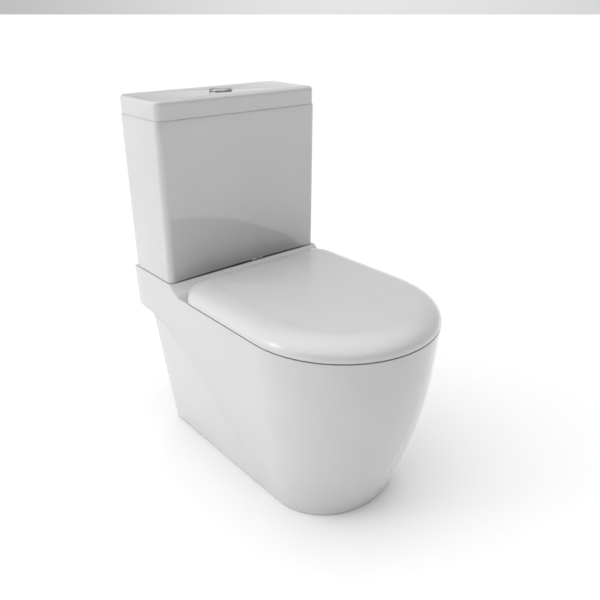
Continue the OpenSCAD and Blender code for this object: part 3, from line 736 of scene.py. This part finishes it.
bm = bmesh.new()
uprightBox(bm, tank)
dropFaces(bm, lambda p: p.z > tank["high"] - 1)
bmesh.ops.bisect_plane(bm, geom=everything(bm), plane_co=(0, 0, tank["low"] + tank["archTop"]),
                       plane_no=(0, 0, 1))
for x in tank["archCuts"]:
    bmesh.ops.bisect_plane(bm, geom=everything(bm), plane_co=(x, 0, 0), plane_no=(1, 0, 0))
for v in bm.verts:
    onFoot = v.co.z < tank["low"] + 1 and v.co.y < tank["frontLow"] + 1
    if onFoot and abs(v.co.x) < tank["archHalf"]:
        v.co.z += tank["arch"] * (1 - (v.co.x / tank["archHalf"]) ** 2) ** 0.5
bmesh.ops.recalc_face_normals(bm, faces=bm.faces[:])
tankShell = asPiece(bm, "cisternTank", "glaze", "pan_and_cistern", ["cistern_tank"],
                    ((-193, 240, 560), (-1, 0, 0)))
addWall(tankShell, tank["wall"])
addBevel(tankShell, 1.2, 40, 4)

bm = bmesh.new()
uprightBox(bm, box)
topEdges = [e for e in bm.edges if all(abs(v.co.z - box["high"]) < 0.01 for v in e.verts)]
roundEdges(bm, topEdges, box["edge"], 8)
dropFaces(bm, lambda p: p.z < box["low"] + 0.1)
top = max(bm.faces, key=lambda f: f.calc_center_median().z + (1 if f.normal.z > 0.99 else 0))
bmesh.ops.delete(bm, geom=[top], context="FACES_ONLY")
rimEdges = [e for e in bm.edges
            if e.is_boundary and all(v.co.z > box["high"] - 0.01 for v in e.verts)]
circle = bmesh.ops.create_circle(bm, segments=64, radius=box["holeRadius"])["verts"]
bmesh.ops.translate(bm, vec=(0, box["holeY"], box["high"]), verts=circle)
circleEdges = [e for e in bm.edges if all(v in circle for v in e.verts)]
bmesh.ops.bridge_loops(bm, edges=rimEdges + circleEdges)
bmesh.ops.recalc_face_normals(bm, faces=bm.faces[:])
cisternLid = asPiece(bm, "cisternLid", "glaze", "service_lid", ["cistern_lid"],
                     ((-193, 240, 740), (-1, 0, 0)))
addWall(cisternLid, box["wall"])
addBevel(cisternLid, 0.5, 60, 3)

bm = bmesh.new()
uprightBox(bm, lip)
dropFaces(bm, lambda p: not lip["low"] + 0.1 < p.z < lip["high"] - 0.1)
bmesh.ops.recalc_face_normals(bm, faces=bm.faces[:])
lidLip = asPiece(bm, "cisternLidLip", "glaze", "service_lid", ["cistern_lid"],
                 ((-180, 240, 723), (-1, 0, 0)))
addWall(lidLip, lip["wall"])
addBevel(lidLip, 1.0, 40, 2)
print("cistern")


# push button: outer ring and two halves

button = {
    "ring": [  # radius and height
        (19.4, 744), (20.6, 744), (20.6, 763.0), (23.4, 763.0), (23.45, 763.5), (23.1, 764.3),
        (22.2, 765.0), (21.1, 765.35), (20.2, 765.2), (19.6, 764.6), (19.4, 763.9), (19.4, 744),
    ],
    "dome": [
        (0, 754.5), (18.8, 754.5), (19.0, 755), (19.0, 764.2), (18.8, 765.0), (18.2, 765.6),
        (17.0, 765.95), (13, 766.15), (7, 766.3), (0, 766.35),
    ],
    "split": -3.0, "gap": 0.35, "y": 240.0, "turns": 96,
}


def spinProfile(bm, profile):
    closed = profile[0] == profile[-1]
    verts = [bm.verts.new((r, 0, z)) for r, z in (profile[:-1] if closed else profile)]
    ends = verts[1:] + (verts[:1] if closed else [])
    edges = [bm.edges.new(pair) for pair in zip(verts, ends)]
    bmesh.ops.spin(bm, geom=verts + edges, cent=(0, 0, 0), axis=(0, 0, 1), angle=math.tau,
                   steps=button["turns"], use_merge=True)
    weld(bm, 0.005)
    bmesh.ops.recalc_face_normals(bm, faces=bm.faces[:])
    bmesh.ops.translate(bm, vec=(0, button["y"], 0), verts=bm.verts[:])


bm = bmesh.new()
spinProfile(bm, button["ring"])
bezel = asPiece(bm, "buttonBezel", "chrome", "service_lid", ["button_bezel"])
addBevel(bezel, 0.2, 40, 2)
halves = [
    ("fullButton", "full_button", "full_flush_button", 1),
    ("halfButton", "half_button", "half_flush_button", -1),
]
for name, body, node, way in halves:
    bm = bmesh.new()
    spinProfile(bm, button["dome"])
    cut = button["split"] + way * button["gap"]
    bmesh.ops.bisect_plane(bm, geom=everything(bm), plane_co=(cut, 0, 0),
                           plane_no=(-way, 0, 0), clear_outer=True)
    bmesh.ops.contextual_create(bm, geom=[e for e in bm.edges if e.is_boundary])
    bmesh.ops.recalc_face_normals(bm, faces=bm.faces[:])
    half = asPiece(bm, name, "chrome", body, [node])
    addBevel(half, 0.3, 40, 2)
print("push button")


# every node that is still the CAD's own gets its finish

nodeLooks = {
    "glaze": ["pan", "trapway", "cistern_tank", "cistern_lid"],
    "seatPlastic": ["seat_ring", "seat_lid"],
    "chrome": ["hinge_posts", "button_bezel", "full_flush_button", "half_flush_button"],
    "steel": ["hinge_pins", "hinge_bolts", "seat_dampers", "coupling_steel_washers",
              "flush_lever_pins", "fill_lever_pin"],
    "brass": ["coupling_bolts", "coupling_wing_nuts"],
    "blackRubber": ["hinge_washers", "doughnut_washer", "coupling_rubber_washers",
                    "flush_valve_seat_washer", "flush_seal", "fill_valve_washer"],
    "softWhite": ["seat_bumpers", "lid_bumpers"],
    "bluePlastic": ["flush_valve_tower", "fill_valve_cap", "float_cup"],
}
for name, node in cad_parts.items():
    look = next((k for k, names in nodeLooks.items() if name in names), "valvePlastic")
    node.data.materials.clear()
    node.data.materials.append(looks[look])

floorHalf = 600
floorMesh = bpy.data.meshes.new("floor")
bm = bmesh.new()
bmesh.ops.create_grid(bm, x_segments=4, y_segments=4, size=floorHalf)
bm.to_mesh(floorMesh)
bm.free()
floor = bpy.data.objects.new("floor", floorMesh)
bpy.context.scene.collection.objects.link(floor)
floorMat, floorTree, floorShader = newMaterial("paleFloor")
floorShader.inputs["Roughness"].default_value = 0.6
floorShader.inputs["Base Color"].default_value = (1, 1, 1, 1)
floorMesh.materials.append(floorMat)
